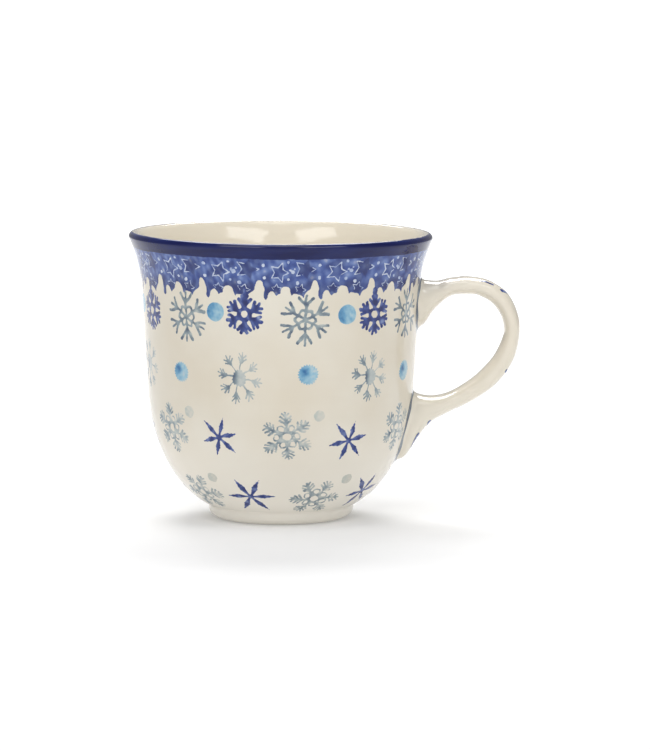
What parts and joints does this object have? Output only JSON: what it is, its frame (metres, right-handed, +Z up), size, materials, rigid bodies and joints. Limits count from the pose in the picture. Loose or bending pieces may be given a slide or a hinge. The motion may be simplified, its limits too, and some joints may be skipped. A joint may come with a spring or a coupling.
{
  "type": "stoneware mug",
  "caption": "Round-bellied stoneware mug with a flared rim, turned foot ring and an ear-shaped strap handle joined by slip.",
  "frame": {"origin": "on the resting plane, under the middle of the whole mug's bounding box; the cup's own axis is at x = -0.0131 m", "axes": "+Z up along the cup's axis, +X from the cup towards its handle, the handle lying in the X-Z plane"},
  "size_m": [0.1162, 0.09, 0.085],
  "materials": {
    "cup_glaze": "glossy clear glaze over cream clay, with cobalt and grey-blue stamped decoration and a bare foot face",
    "handle_glaze": "glossy clear glaze over cream clay, with small cobalt touches on its outer side",
    "slip_glaze": "glossy clear glaze over a smoothed bead of slip, with a grey-blue painted outline"
  },
  "bodies": {
    "root": {"cup_body": "cup_glaze", "handle": "handle_glaze", "upper_slip_joint": "slip_glaze", "lower_slip_joint": "slip_glaze"}
  },
  "joints": []
}
